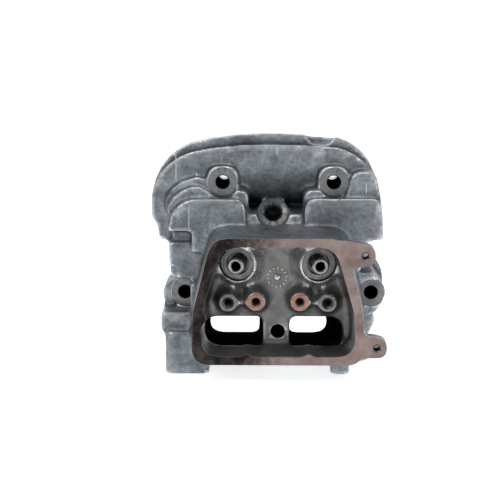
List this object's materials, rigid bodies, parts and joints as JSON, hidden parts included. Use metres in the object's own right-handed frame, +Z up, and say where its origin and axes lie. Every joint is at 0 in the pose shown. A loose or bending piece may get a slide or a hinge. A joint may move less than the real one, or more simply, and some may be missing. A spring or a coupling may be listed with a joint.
{
  "type": "cylinder head",
  "caption": "Finned air-cooled cylinder head with an open rocker box, angled spark plug hole, two valve guides with seats, downward port flanges and hollow locating dowels.",
  "frame": {"origin": "under the middle of the head, on the plane of the two port flanges, at the bottom centre of its box", "axes": "+Y out of the head gasket face (the deck), -Y out of the open rocker box, +Z up towards the crown of the fins, +X to the right seen from the rocker side"},
  "size_m": [0.163, 0.099, 0.1622],
  "materials": {
    "casting": "as-cast aluminium with machined gasket faces",
    "guide": "machined iron",
    "seat": "ground sintered steel",
    "dowel": "turned steel"
  },
  "bodies": {
    "root": {"head_casting": "casting", "intake_valve_guide": "guide", "exhaust_valve_guide": "guide", "intake_valve_seat": "seat", "exhaust_valve_seat": "seat", "locating_dowel_left": "dowel", "locating_dowel_right": "dowel"}
  },
  "joints": []
}
